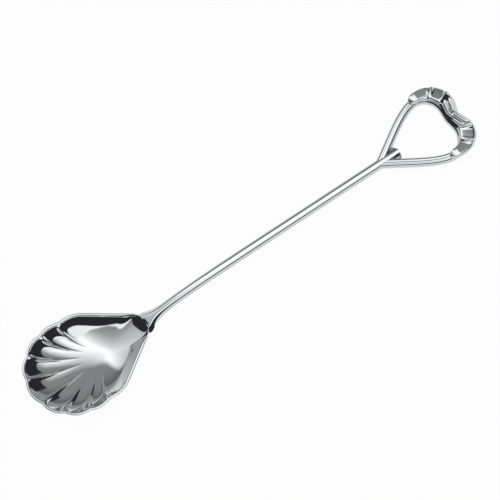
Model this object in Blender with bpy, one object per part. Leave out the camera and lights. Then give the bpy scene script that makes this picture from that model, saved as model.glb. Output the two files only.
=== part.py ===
"""Coffee spoon: a fluted shell bowl, a round rod stem, and a heart finial tied with a ribbon bow.

Metres, +Z up, lying as it does on a table. The origin is under the bowl, in the flat that it rests on.
+X runs along the spoon from the bowl to the heart, and the XZ plane is its plane of symmetry.
"""

from math import atan, cos, exp, pi, radians, sin, sqrt, tan

import bmesh
import bpy
from mathutils import Matrix, Vector
from mathutils.geometry import interpolate_bezier

MM = 0.001
SHARP_ANGLE = radians(35)  # edges that turn more than this are shaded as creases
SEAM = 0.3 * MM  # clearance left between two pieces that are soldered together

# Bowl, in the plane of its rim. The tip is at -X and the heel, where the stem starts, at +X.
TIP_RADIUS = 12.1 * MM  # round end of the rim, measured to the notches of the scallops
TIP_TO_FOCUS = 9.4 * MM  # from the centre of that round end to the deepest point
FLANK = 4.5 * MM  # parallel stretch of the rim behind the round end
SHOULDER_RADIUS = 8.5 * MM
SIDE_ANGLE = radians(34)  # the sides close in on the heel at this angle
HEEL_RADIUS = 4.8 * MM
BOWL_DEPTH = 4.7 * MM  # inside, below the rim
SHEET = 1.0 * MM
LIP = 0.8 * MM  # width of the rim's edge
LIP_ROUND = 0.25 * MM
BOWL_PITCH = radians(6)  # the tip stands higher than the heel
REST_CUT = 0.18 * MM  # depth of the flat on the underside
RIM_HEIGHT = BOWL_DEPTH + SHEET - REST_CUT  # of the rim over the deepest point

# Flutes: hollow channels between sharp ridges, which start at the notches of the scalloped rim.
RIDGE_ANGLES = [radians(a) for a in (18, 48, 78, 104)]  # either side of the tip
SCALLOP = 0.5 * MM  # how far a scallop stands out past its notches
SIDE_SCALLOP = 0.4  # share of that on the long side flutes
FLUTE = 1.25 * MM  # the same, part of the way down the wall
FLUTE_END = 0.8  # share of the way from rim to deepest point at which the flutes have faded out
SIDE_FULLNESS = 1.85  # power of the wall's curve at the sides
TIP_FULLNESS = 1.55  # and at the tip
RIDGE_AIM = (radians(80), radians(150))  # between these angles the aim moves on to the deepest point
FLUTE_FULL = 0.4  # share of the way down at which a flute has its full depth
FLUTE_FADES = 0.35  # and from which it fades

# Waist: the smooth egg shape that the walls run through, on their way from the rim to the deepest point.
WAIST_X = -5.5 * MM
WAIST_LENGTH = 10.5 * MM  # half of it
WAIST_WIDTH = 7.4 * MM  # half of it
WAIST_TAPER = 0.22  # how much narrower it gets towards the heel
FLOOR_LEVEL = 0.97  # share of the way down at which the flat middle of the floor starts

# Stem, along a line that falls from the neck to the heart.
STEM_RADIUS = 1.25 * MM
STEM_SIDES = 20
STEM_END = 88.5 * MM  # X of the pointed tip
NECK_DIP = 3.65 * MM  # the foot lies this far below the stem's line
NECK_DIP_LENGTH = 7.6 * MM
NECK_FLARE = 0.7 * MM  # added half width of the fishtail foot at NECK_X, before its limit
NECK_FLARE_LENGTH = 1.6 * MM
NECK_FLARE_LIMIT = 3.5 * MM
NECK_X = 14.25 * MM
FOOT_START = 10.2 * MM  # inside the bowl's heel, whose shape then takes the rest off
FOOT_END = 30 * MM  # the rod is plain beyond this
FOOT_ROUND = 2.6 * MM  # length over which the foot's corners are rounded off
FOOT_HALF_HEIGHT = 1.3 * MM
FOOT_EDGE = 9.0  # sharpness of the flat-topped foot's bevelled section
FOOT_BEVEL_LENGTH = 6 * MM  # over which that section turns round
TIP_CUT = radians(35)  # slope of the end, which overhangs the solder

# Heart, in its own plane: p runs on from the stem and q across, from the point where the limbs meet.
HEART_X = 83.0 * MM
WIRE_RADIUS = 1.2 * MM
WIRE_SIDES = 14
HEART_HALF_WIDTH = 8.8 * MM  # to the middle of the wire
HEART_WIDEST = 16.2 * MM
HEART_TOP = 21.2 * MM
HEART_TOP_Q = 3.4 * MM
HEART_NOTCH = 20.9 * MM
HEART_POINT = -0.4 * MM
LIMB_ANGLE = radians(31)
LIMB_HANDLE = 7.0 * MM  # lengths of the curve's handles
WIDEST_HANDLE = 4.0 * MM
SHOULDER_HANDLE = 2.8 * MM
NOTCH_HANDLE = 1.6 * MM
END_GAP = 0.05 * MM  # each end of the wire stops this far from the middle plane

# Ribbon loops, which lie on the wire. A place along a loop is a share of its way from the limb to the knot.
RIBBON_START = Vector((14.5, 8.85)) * MM  # middle of the band (p, q) on the limb
RIBBON_LOBE = Vector((22.75, 4.1)) * MM  # where it turns in to the knot
RIBBON_END = Vector((21.9, 1.4)) * MM
START_PULL = Vector((3.6, 1.45)) * MM  # handles of the two curves between these points
LOBE_PULL = Vector((-0.1, 3.8)) * MM
LOBE_LET = Vector((0.05, -1.1)) * MM
END_PULL = Vector((0, 1.1)) * MM
START_HALF_WIDTH = 1.35 * MM
LOBE_HALF_WIDTH = 2.2 * MM
END_HALF_WIDTH = 1.8 * MM
WIDEN_BY = 0.7
DRAW_IN_FROM = 0.75
START_ROUND = 0.08  # length of the rounded start
RIBBON_THICK = 0.9 * MM
START_THICKNESS = 0.45  # share of it at the start
EDGE_THINNING = 0.45  # share of it taken off at the edges
RIBBON_BASE = 1.52 * MM  # height of its underside over the wire's plane
RIBBON_TILT = 0.45 * MM  # the outer edge falls away by this much
RIBBON_CROWN = 0.35 * MM
FOLD = 0.22 * MM  # height of the cross folds
FOLD_PITCH = 0.14  # from fold to fold
FOLD_CREST = 0.46
FOLDS_FROM = (0.34, 0.42)
FOLDS_TO = (0.62, 0.7)
PLEAT = 0.28 * MM  # height of the gathers beside the knot
PLEATS = 3
PLEATS_FROM = (0.64, 0.74)

# Knot of the bow and the solder in the heart's point, in the heart's plane (p, q, height).
KNOT_AT = Vector((21.9, 0, 2.2)) * MM
KNOT_HALF = Vector((1.75, 1.05, 0.75)) * MM
KNOT_DIMPLE = 0.55 * MM
KNOT_DIMPLE_RADIUS = 0.6 * MM
KNOT_SQUARENESS = 4.0
SOLDER_AT = Vector((4.4, 0, -0.45)) * MM
SOLDER_HALF = Vector((1.5, 2.4, 0.62)) * MM
SOLDER_SQUARENESS = 2.4

STEEL = (0.72, 0.73, 0.74, 1.0)
SOLDER = (0.50, 0.51, 0.52, 1.0)
MIRROR_ROUGHNESS = 0.06
SOLDER_ROUGHNESS = 0.25

# Slope of the stem and the heart, which lets the top of the heart's wire touch the table.
NECK_CREST = 6.65 * MM  # height of the stem's line at the heel
HEEL_X = 12.3 * MM
STEM_SLOPE = atan((NECK_CREST - WIRE_RADIUS) / (HEART_X + HEART_TOP - HEEL_X))

BOWL_PLACE = Matrix.Translation((0, 0, RIM_HEIGHT)) @ Matrix.Rotation(BOWL_PITCH, 4, "Y")


def smoothstep(low, high, value):
    share = min(max((value - low) / (high - low), 0.0), 1.0)
    return share * share * (3 - 2 * share)


def stem_line(x):
    """Height of the stem's straight line."""
    return NECK_CREST - tan(STEM_SLOPE) * (x - HEEL_X)


HEART_PLACE = Matrix.Translation((HEART_X, 0, stem_line(HEART_X))) @ Matrix.Rotation(STEM_SLOPE, 4, "Y")


def metal(name, colour, roughness):
    material = bpy.data.materials.new(name)
    material.use_nodes = True
    shader = material.node_tree.nodes["Principled BSDF"]
    shader.inputs["Base Color"].default_value = colour
    shader.inputs["Metallic"].default_value = 1.0
    shader.inputs["Roughness"].default_value = roughness
    return material


def add_object(name, bm, material, place=None):
    bmesh.ops.recalc_face_normals(bm, faces=bm.faces)
    mesh = bpy.data.meshes.new(name)
    bm.to_mesh(mesh)
    bm.free()
    mesh.shade_smooth()
    mesh.set_sharp_from_angle(angle=SHARP_ANGLE)
    mesh.materials.append(material)
    piece = bpy.data.objects.new(name, mesh)
    if place:
        piece.matrix_world = place
    bpy.context.collection.objects.link(piece)
    return piece


def as_cutter(piece):
    piece.hide_render = True
    piece.display_type = "WIRE"
    return piece


def cut(piece, cutter):
    boolean = piece.modifiers.new("cut by " + cutter.name, "BOOLEAN")
    boolean.operation = "DIFFERENCE"
    boolean.object = cutter


def loft(rings):
    """A closed skin through rings of equally many points, with a cap on the first and the last.

    One circle is extruded from ring to ring, and each point keeps its number round the ring.
    """
    count = len(rings[0])
    bm = bmesh.new()
    number = bm.verts.layers.int.new("number")
    ring = bmesh.ops.create_circle(bm, segments=count, radius=1)["verts"]
    for index, vert in enumerate(ring):
        vert[number] = index
        vert.co = rings[0][index]
    edges = list(bm.edges)
    bmesh.ops.contextual_create(bm, geom=edges)
    for points in rings[1:]:
        made = bmesh.ops.extrude_edge_only(bm, edges=edges)["geom"]
        edges = [part for part in made if isinstance(part, bmesh.types.BMEdge)]
        ring = {vert for edge in edges for vert in edge.verts}
        edges = [edge for edge in edges if edge.is_boundary]
        for vert in ring:
            vert.co = points[vert[number]]
    bmesh.ops.contextual_create(bm, geom=edges)
    return bm


def ray_out_of_circle(ray, centre, radius):
    along = ray.dot(centre)
    return along + sqrt(along * along - centre.length_squared + radius * radius)


def rim_reach(angle, inset):
    """Distance from the round end's centre to the plain rim, at an angle from the tip.

    The rim is a round end, two flanks, two shoulders, straight sides and a round heel.
    """
    radius = TIP_RADIUS - inset
    ray = Vector((-cos(angle), abs(sin(angle))))
    if ray.x <= 0:
        return radius
    shoulder = SHOULDER_RADIUS - inset
    shoulder_centre = Vector((FLANK, radius - shoulder))
    square_to_side = Vector((sin(SIDE_ANGLE), cos(SIDE_ANGLE)))
    side_start = shoulder_centre + shoulder * square_to_side
    heel = HEEL_RADIUS - inset
    heel_centre = Vector(((square_to_side.dot(side_start) - heel) / square_to_side.x, 0))
    side_end = heel_centre + heel * square_to_side
    slope = ray.y / ray.x
    if slope > radius / FLANK:
        return radius / ray.y
    if slope > side_start.y / side_start.x:
        return ray_out_of_circle(ray, shoulder_centre, shoulder)
    if slope > side_end.y / side_end.x:
        return square_to_side.dot(side_start) / square_to_side.dot(ray)
    return ray_out_of_circle(ray, heel_centre, heel)


def scallop_share(angle):
    """0 on a ridge, 1 in the middle of a flute. The long side flutes fade out at the heel."""
    angle = abs(angle)
    ridges = [-RIDGE_ANGLES[0], *RIDGE_ANGLES]
    for start, end in zip(ridges, ridges[1:]):
        if angle <= end:
            across = (angle - start) / (end - start)
            return 4 * across * (1 - across)
    across = (angle - ridges[-1]) / (pi - ridges[-1])
    highest = 4 / 27  # of the curve below
    return SIDE_SCALLOP * across * (1 - across) ** 2 / highest


def outside_waist(point):
    """Over 0 outside the egg shape, under 0 inside it."""
    along = (point.x - WAIST_X) / WAIST_LENGTH
    across = point.y / (WAIST_WIDTH * (1 - WAIST_TAPER * along))
    return along * along + across * across - 1


def waist_point(rim, aim):
    """Where the line from the rim to its aim crosses the waist, found by halving."""
    halvings = 30
    outer, inner = rim, aim
    for _ in range(halvings):
        half = outer.lerp(inner, 0.5)
        if outside_waist(half) > 0:
            outer = half
        else:
            inner = half
    return inner


def bowl_spoke(angle, inset, depth, levels):
    """Points of the bowl's skin, at shares of the way down from its rim to its deepest point."""
    outward = Vector((-cos(angle), sin(angle)))
    middle = Vector((-TIP_TO_FOCUS, 0))
    rim = middle + rim_reach(angle, inset) * outward
    aim = middle * (1 - smoothstep(*RIDGE_AIM, abs(angle)))
    waist = waist_point(rim, aim)
    fluted = scallop_share(angle)
    fullness = SIDE_FULLNESS + (TIP_FULLNESS - SIDE_FULLNESS) * (1 + cos(angle)) / 2
    points = []
    for down in levels:
        plan = (1 - down) ** 2 * rim + 2 * down * (1 - down) * waist
        swell = SCALLOP + (FLUTE - SCALLOP) * smoothstep(0, FLUTE_FULL, down)
        plan += outward * swell * fluted * (1 - smoothstep(FLUTE_FADES, FLUTE_END, down))
        fall = depth * (1 - (1 - down) ** fullness)
        points.append(Vector((plan.x, plan.y, -LIP_ROUND - fall)))
    return points


def rim_angles():
    """Angles of the mesh's spokes from the tip, closest round the heel, with one on every ridge."""
    per_flute = 8
    per_side = 15
    crowding = 1.8
    ridges = [-a for a in reversed(RIDGE_ANGLES)] + RIDGE_ANGLES
    angles = []
    for start, end in zip(ridges, ridges[1:]):
        angles += [start + (end - start) * i / per_flute for i in range(per_flute)]
    side = [pi - (pi - ridges[-1]) * (1 - i / per_side) ** crowding for i in range(per_side + 1)]
    return angles + side + [-a for a in side[-2:0:-1]]


def bowl_rings(inset, depth, levels):
    spokes = [bowl_spoke(angle, inset, depth, levels) for angle in rim_angles()]
    return [list(ring) for ring in zip(*spokes)]


def rest_on_table(point):
    """Flattens what would reach below the table."""
    placed = BOWL_PLACE @ point
    placed.z = max(placed.z, 0)
    return BOWL_PLACE.inverted() @ placed


def bowl(material):
    """Fluted shell: up the outside, over the rounded lip and down the inside."""
    steps = 11
    levels = [FLOOR_LEVEL * i / steps for i in range(steps + 1)]
    outside = bowl_rings(0, BOWL_DEPTH + SHEET - LIP_ROUND, levels)
    outside = [[rest_on_table(point) for point in ring] for ring in outside]
    inside = bowl_rings(LIP, BOWL_DEPTH - LIP_ROUND, levels)
    lip = []
    for inset in (LIP_ROUND, LIP - LIP_ROUND):
        ring = bowl_rings(inset, 0, [0])[0]
        lip.append([point + Vector((0, 0, LIP_ROUND)) for point in ring])
    return add_object("bowl", loft(outside[::-1] + lip + inside), material, BOWL_PLACE)


def bowl_clearance():
    """The bowl filled up and grown by the seam, to seat the stem's foot against its heel."""
    steps = 8
    levels = [FLOOR_LEVEL * i / steps for i in range(steps + 1)]
    rings = bowl_rings(-SEAM, BOWL_DEPTH + SHEET - LIP_ROUND + SEAM, levels)
    brim = [point + Vector((0, 0, BOWL_DEPTH)) for point in rings[0]]
    return as_cutter(add_object("bowl_clearance", loft(rings[::-1] + [brim]), None, BOWL_PLACE))


def ring_round(centre, across, up, count):
    """Ring of points on an ellipse."""
    turns = [2 * pi * i / count for i in range(count)]
    return [centre + across * cos(turn) + up * sin(turn) for turn in turns]


def stem_stations():
    """X of the rod's rings, close together in the flared foot."""
    foot_steps = 18
    rod_steps = 8
    crowding = 1.5
    foot = [FOOT_START + (FOOT_END - FOOT_START) * (i / foot_steps) ** crowding for i in range(foot_steps)]
    rod = [FOOT_END + (STEM_END - FOOT_END) * i / rod_steps for i in range(rod_steps + 1)]
    return foot + rod


def stem_ring(x, grow):
    """Ring of the rod: round along its length, wide and flat-topped in the bevelled fishtail foot."""
    past_heel = max(x - HEEL_X, 0)
    fade = exp(-past_heel / FOOT_BEVEL_LENGTH)
    dip = NECK_DIP * exp(-past_heel / NECK_DIP_LENGTH)
    flare = NECK_FLARE * exp(-(x - NECK_X) / NECK_FLARE_LENGTH)
    flare /= 1 + flare / NECK_FLARE_LIMIT
    rounding = min((x - FOOT_START + SEAM) / FOOT_ROUND, 1)
    width = (STEM_RADIUS + flare) * sqrt(rounding * (2 - rounding))
    height = STEM_RADIUS - (STEM_RADIUS - FOOT_HALF_HEIGHT) * fade
    centre = Vector((x, 0, stem_line(x) - dip))
    width += grow
    height += grow
    ring = ring_round(Vector(), Vector((0, width, 0)), Vector((0, 0, height)), STEM_SIDES)
    for point in ring:
        flank = (abs(point.y) + abs(point.z)) / width
        bevelled = (flank**FOOT_EDGE + abs(point.z / height) ** FOOT_EDGE) ** (1 / FOOT_EDGE)
        point *= 1 + fade * (1 / bevelled - 1)
    return [centre + point for point in ring]


def stem_skin(grow):
    """The rod, with a pointed tip whose end is cut back underneath."""
    bm = loft([stem_ring(x, grow) for x in stem_stations()])
    tip = HEART_PLACE @ Vector((STEM_END - HEART_X + grow, 0, STEM_RADIUS))
    for lean in (-1, 1):
        square = Vector((cos(TIP_CUT), lean * sin(TIP_CUT), -tan(TIP_CUT)))
        geom = list(bm.verts) + list(bm.edges) + list(bm.faces)
        made = bmesh.ops.bisect_plane(bm, geom=geom, plane_co=tip, plane_no=square, clear_outer=True)
        rim = [part for part in made["geom_cut"] if isinstance(part, bmesh.types.BMEdge)]
        bmesh.ops.contextual_create(bm, geom=rim)
    return bm


def bezier_points(knots, steps):
    """Points along a chain of curves, each given by its two ends and the two handles between."""
    points = [knots[0][0]]
    for knot in knots:
        points += interpolate_bezier(*knot, steps + 1)[1:]
    return points


def heart_path():
    """Points (p, q) of the wire's left half, from the heart's point round to its notch."""
    point = Vector((HEART_POINT, 0))
    limb = LIMB_HANDLE * Vector((cos(LIMB_ANGLE), sin(LIMB_ANGLE)))
    wide = Vector((HEART_WIDEST, HEART_HALF_WIDTH))
    top = Vector((HEART_TOP, HEART_TOP_Q))
    notch = Vector((HEART_NOTCH, 0))
    lobe = [
        (point, point + limb, wide - Vector((WIDEST_HANDLE, 0)), wide),
        (wide, wide + Vector((SHOULDER_HANDLE, 0)), top + Vector((0, SHOULDER_HANDLE)), top),
        (top, top - Vector((0, NOTCH_HANDLE)), notch + Vector((0, NOTCH_HANDLE / 2)), notch),
    ]
    return bezier_points(lobe, steps=9)


def heart_skin(radius):
    """The bent wire. Its ends stop at the heart's middle plane, where the stem's groove takes them off."""
    path = heart_path()
    half = []
    for i, middle in enumerate(path):
        ahead = path[min(i + 1, len(path) - 1)] - path[max(i - 1, 0)]
        if i == len(path) - 1:
            ahead = Vector((0, -1))
        across = Vector((-ahead.y, ahead.x, 0)).normalized() * radius
        half.append(ring_round(middle.to_3d(), across, Vector((0, 0, radius)), WIRE_SIDES))
    limb = (path[1] - path[0]).normalized().to_3d()
    half[0] = [point - limb * (point.y - END_GAP) / limb.y for point in half[1]]
    other = [[Vector((point.x, -point.y, point.z)) for point in ring] for ring in half[-2::-1]]
    return loft(half + other)


def ribbon_path(count):
    """Evenly spaced points (p, q) along the middle of a loop, from the limb to the knot."""
    knots = [
        (RIBBON_START, RIBBON_START + START_PULL, RIBBON_LOBE + LOBE_PULL, RIBBON_LOBE),
        (RIBBON_LOBE, RIBBON_LOBE + LOBE_LET, RIBBON_END + END_PULL, RIBBON_END),
    ]
    points = bezier_points(knots, steps=24)
    lengths = [0.0]
    for before, after in zip(points, points[1:]):
        lengths.append(lengths[-1] + (after - before).length)
    even = []
    for i in range(count):
        goal = lengths[-1] * i / (count - 1)
        j = max(k for k in range(len(points) - 1) if lengths[k] <= goal)
        even.append(points[j].lerp(points[j + 1], (goal - lengths[j]) / (lengths[j + 1] - lengths[j])))
    return even


def ribbon_half_width(along):
    """Narrow and rounded where it starts on the limb, widest before the gathers, drawn in at the knot."""
    width = START_HALF_WIDTH + (LOBE_HALF_WIDTH - START_HALF_WIDTH) * smoothstep(0, WIDEN_BY, along)
    width += (END_HALF_WIDTH - LOBE_HALF_WIDTH) * smoothstep(DRAW_IN_FROM, 1, along)
    narrowest = 0.5
    return width * (narrowest + (1 - narrowest) * sqrt(min(along / START_ROUND, 1)))


def ribbon_underside(along, across):
    """Height of the band's lower side: it lies on the wire, and its outer edge falls away."""
    fall = RIBBON_TILT * across + RIBBON_CROWN * across * across
    return RIBBON_BASE - fall * smoothstep(0, FOLDS_FROM[0], along)


def ribbon_thickness(along, across):
    """Thin at the start, with two cross folds on the shoulder and gathers that run to the knot."""
    folds = smoothstep(*FOLDS_FROM, along) * (1 - smoothstep(*FOLDS_TO, along))
    gathers = smoothstep(*PLEATS_FROM, along)
    thick = RIBBON_THICK * (START_THICKNESS + (1 - START_THICKNESS) * smoothstep(0, FOLDS_FROM[0], along))
    thick += FOLD * folds * cos(2 * pi * (along - FOLD_CREST) / FOLD_PITCH)
    thick += PLEAT * gathers * (1 - cos(PLEATS * pi * (across + 1))) / 2
    return thick * (1 - EDGE_THINNING * across**6)


def ribbon_loop(name, side, material):
    stations = 40
    top_steps = 18
    upper = [(-1 + 2 * k / top_steps, True) for k in range(top_steps + 1)]
    lower = [(across, False) for across in (0.85, 0.3, -0.3, -0.85)]
    path = ribbon_path(stations)
    rings = []
    for i, middle in enumerate(path):
        along = i / (stations - 1)
        ahead = (path[min(i + 1, stations - 1)] - path[max(i - 1, 0)]).normalized()
        outward = Vector((-ahead.y, ahead.x)) * ribbon_half_width(along)
        ring = []
        for across, is_top in upper + lower:
            plan = middle + outward * across
            height = ribbon_underside(along, across)
            if is_top:
                height += ribbon_thickness(along, across)
            ring.append(Vector((plan.x, side * plan.y, height)))
        rings.append(ring)
    return add_object(name, loft(rings), material, HEART_PLACE)


def pillow(centre, half, squareness):
    """Closed rounded block: a ball squared off by a power over 2."""
    bm = bmesh.new()
    bmesh.ops.create_uvsphere(bm, u_segments=24, v_segments=14, radius=1)
    for vert in bm.verts:
        size = sum(abs(value) ** squareness for value in vert.co) ** (1 / squareness)
        vert.co = centre + Vector(value / size * reach for value, reach in zip(vert.co, half))
    return bm


def ribbon_knot(material):
    """Pillow with a dimple, over the heart's notch."""
    bm = pillow(KNOT_AT, KNOT_HALF, KNOT_SQUARENESS)
    for vert in bm.verts:
        aside = (vert.co - KNOT_AT).to_2d().length
        if vert.co.z > KNOT_AT.z:
            vert.co.z -= KNOT_DIMPLE * (1 - smoothstep(0, KNOT_DIMPLE_RADIUS, aside))
    return add_object("ribbon_knot", bm, material, HEART_PLACE)


def point_solder(material, cutters):
    """Pad of solder under the stem's tip, in the point of the heart, cut to the stem and the wire."""
    pad = pillow(SOLDER_AT, SOLDER_HALF, SOLDER_SQUARENESS)
    piece = add_object("point_solder", pad, material, HEART_PLACE)
    for cutter in cutters:
        cut(piece, cutter)
    return piece


def main():
    for old in list(bpy.data.objects):
        bpy.data.objects.remove(old)
    bowl(metal("polished bowl steel", STEEL, MIRROR_ROUGHNESS))

    rod = add_object("stem", stem_skin(0), metal("polished stem steel", STEEL, MIRROR_ROUGHNESS))
    cut(rod, bowl_clearance())

    stem_groove = as_cutter(add_object("stem_groove", stem_skin(SEAM), None))
    wire_steel = metal("polished wire steel", STEEL, MIRROR_ROUGHNESS)
    wire = add_object("heart_wire", heart_skin(WIRE_RADIUS), wire_steel, HEART_PLACE)
    cut(wire, stem_groove)

    wire_groove = as_cutter(add_object("wire_groove", heart_skin(WIRE_RADIUS + SEAM), None, HEART_PLACE))
    point_solder(metal("silver solder", SOLDER, SOLDER_ROUGHNESS), [stem_groove, wire_groove])

    for name, side in (("ribbon_left_loop", 1), ("ribbon_right_loop", -1)):
        ribbon_loop(name, side, metal(name + " steel", STEEL, MIRROR_ROUGHNESS))
    ribbon_knot(metal("knot steel", STEEL, MIRROR_ROUGHNESS))


main()
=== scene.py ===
"""Coffee spoon with a shell bowl and a heart finial: its polished pieces, and a plain studio round them.

Each piece is modelled over the solid that it stands for. Lengths are in metres and +Z is up. +X runs along
the spoon from the bowl to the heart, and the XZ plane is its plane of symmetry.
"""

from math import atan, cos, exp, pi, radians, sin, sqrt, tan

import bmesh
import bpy
from bpy.props import FloatProperty, FloatVectorProperty, IntProperty, PointerProperty
from mathutils import Matrix, Vector
from mathutils.geometry import interpolate_bezier


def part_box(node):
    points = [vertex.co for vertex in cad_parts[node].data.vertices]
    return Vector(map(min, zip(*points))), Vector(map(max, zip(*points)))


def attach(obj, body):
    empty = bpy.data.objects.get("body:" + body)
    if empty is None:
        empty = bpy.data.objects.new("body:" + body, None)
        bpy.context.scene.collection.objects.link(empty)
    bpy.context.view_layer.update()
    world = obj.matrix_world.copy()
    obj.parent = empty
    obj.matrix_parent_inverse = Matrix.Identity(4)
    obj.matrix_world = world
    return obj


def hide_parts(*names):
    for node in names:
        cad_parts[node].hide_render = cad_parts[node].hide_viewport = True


bl_info = {
    "name": "Shell Coffee Spoon",
    "version": (1, 0, 0),
    "blender": (4, 5, 0),
    "location": "View3D > Sidebar > Spoon",
    "description": "Models a polished coffee spoon with a shell bowl and a heart finial",
    "category": "Add Mesh",
}

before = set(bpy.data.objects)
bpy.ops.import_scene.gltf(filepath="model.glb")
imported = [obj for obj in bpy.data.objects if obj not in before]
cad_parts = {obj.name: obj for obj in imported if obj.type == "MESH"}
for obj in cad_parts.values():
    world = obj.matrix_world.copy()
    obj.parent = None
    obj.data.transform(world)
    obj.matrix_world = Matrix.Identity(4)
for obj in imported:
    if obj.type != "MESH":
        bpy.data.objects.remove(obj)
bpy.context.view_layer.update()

MM = 0.001


def linear(code):
    """An sRGB hex value as linear red, green and blue."""
    levels = [int(code[i : i + 2], 16) / 255 for i in (0, 2, 4)]
    return [level / 12.92 if level <= 0.04045 else ((level + 0.055) / 1.055) ** 2.4 for level in levels]


def length(name, description, millimetres):
    default = millimetres * MM
    return FloatProperty(name=name, description=description, default=default, unit="LENGTH", precision=5)


def angle(name, description, degrees):
    return FloatProperty(name=name, description=description, default=radians(degrees), subtype="ANGLE")


def share(name, description, default):
    return FloatProperty(name=name, description=description, default=default, subtype="FACTOR")


def power(name, description, default):
    return FloatProperty(name=name, description=description, default=default)


def position(name, description, millimetres):
    return FloatVectorProperty(
        name=name,
        description=description,
        default=[value * MM for value in millimetres],
        size=len(millimetres),
        unit="LENGTH",
        precision=5,
    )


def colour(name, description, code):
    return FloatVectorProperty(name=name, description=description, default=linear(code), subtype="COLOR")


class ShellBowl(bpy.types.PropertyGroup):
    """Sizes of the bowl, in the plane of its rim. The tip is at -X and the heel at +X."""

    tip_radius: length("Tip radius", "Round end of the rim, to the notches of its scallops", 12.1)
    tip_to_focus: length("Tip to focus", "From the round end's centre to the deepest point", 9.4)
    flank: length("Flank", "Parallel stretch of the rim behind the round end", 4.5)
    shoulder_radius: length("Shoulder radius", "Between the flanks and the straight sides", 8.5)
    side_angle: angle("Side angle", "At which the sides close in on the heel", 34)
    heel_radius: length("Heel radius", "Round of the rim where the stem starts", 4.8)
    depth: length("Depth", "Inside, below the rim", 4.7)
    sheet: length("Sheet", "Thickness at the deepest point", 1.0)
    lip: length("Lip", "Width of the rim's rounded edge", 0.75)
    lip_height: length("Lip height", "Height of that round", 0.3)
    pitch: angle("Pitch", "The tip stands higher than the heel", 6)
    rest_cut: length("Rest", "Depth of the worn flat on the underside", 0.18)
    scallop: length("Scallop", "How far a scallop stands out past its notches", 0.5)
    side_scallop: share("Side scallop", "Share of that on the long side flutes", 0.4)
    flute: length("Flute", "Depth of a flute, part of the way down the wall", 1.25)
    flute_end: share("Flute end", "Share of the way down at which the flutes have faded out", 0.8)
    ridge_round: share("Ridge round", "Rounded share of a flute beside each ridge", 0.06)
    ridge_rise: length("Ridge rise", "How far a ridge's crest stands over the wall", 0.3)
    ridge_width: share("Ridge width", "Share of a flute that the crest takes on either side", 0.16)
    heel_lip: length("Heel lip", "Width of the rim's edge where the stem's foot covers it", 0.25)
    side_fullness: power("Side fullness", "Power of the side walls' curve", 1.77)
    tip_fullness: power("Tip fullness", "Power of the tip wall's curve", 1.55)
    heel_fall: length("Heel fall", "How much faster the wall falls from the rim at the heel", 4.0)
    waist_x: length("Waist", "X of the middle of the egg shape that the walls run through", -5.5)
    waist_length: length("Waist half length", "Of that egg shape", 10.5)
    waist_width: length("Waist half width", "Of that egg shape", 7.4)
    waist_taper: share("Waist taper", "How much narrower the egg shape gets towards the heel", 0.22)


class RodStem(bpy.types.PropertyGroup):
    """Sizes of the stem and its flared foot."""

    radius: length("Radius", "Of the plain rod", 1.25)
    crest: length("Crest", "Height of the stem's line at the heel", 6.65)
    heel_x: length("Heel", "X of the bowl's heel", 12.3)
    dip: length("Dip", "The foot lies this far below the stem's line", 3.65)
    dip_x: length("Dip start", "X at which the foot starts to rise", 11.5)
    dip_length: length("Dip length", "Over which the dip fades", 7.6)
    bevel_length: length("Bevel length", "Over which the foot's bevelled section turns round", 6)
    flare: length("Flare", "Added half width at the neck, before its limit", 0.7)
    flare_length: length("Flare length", "Over which the flare fades", 1.6)
    flare_limit: length("Flare limit", "Most that the flare adds", 3.5)
    flare_x: length("Flare place", "X of the neck", 14.25)
    foot_start: length("Foot start", "X inside the bowl's heel", 10.2)
    foot_end: length("Foot end", "X past which the rod is plain", 30)
    foot_round: length("Foot round", "Over which the foot's corners are rounded off", 2.6)
    foot_half_height: length("Foot half height", "Of the flat-topped foot", 1.3)
    foot_edge: power("Foot edge", "Power of its bevelled section, which is sharper as it grows", 9)
    facet_depth: length("Facet depth", "Of the two facets filed on the tip", 0.04)
    facet_length: length("Facet length", "Over which they run out", 4.0)
    facet_lean: angle("Facet lean", "To either side", 42)
    tip_point: angle("Tip point", "Slope of the end to either side", 20)
    tip_cut: angle("Tip cut", "Slope of the overhanging end", 15)


class HeartWire(bpy.types.PropertyGroup):
    """Sizes of the bent wire, from the point where its limbs meet: p runs on from the stem and q across."""

    start_x: length("Start", "X of the point where the limbs meet", 83.0)
    radius: length("Wire radius", "Of the round wire", 1.2)
    half_width: length("Half width", "To the middle of the wire", 8.8)
    widest: length("Widest", "p of the widest place", 16.2)
    top: length("Top", "p of the two lobes", 21.2)
    top_q: length("Lobe", "q of the two lobes", 3.4)
    notch: length("Notch", "p of the notch between them", 20.9)
    point: length("Point", "p of the limbs' meeting", -0.4)
    limb_angle: angle("Limb angle", "At which the limbs leave the stem", 31)
    limb_handle: length("Limb handle", "Pull of the limb's curve at its point", 7.0)
    widest_handle: length("Widest handle", "Pull of the limb's curve at the widest place", 4.0)
    shoulder_handle: length("Shoulder handle", "Pull of the shoulder's curve", 2.8)
    notch_handle: length("Notch handle", "Pull of the curve at the notch", 1.6)
    groove: length("Groove", "Depth of the fine groove along the top of the wire", 0.12)
    groove_width: length("Groove half width", "Of that groove", 0.24)


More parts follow.
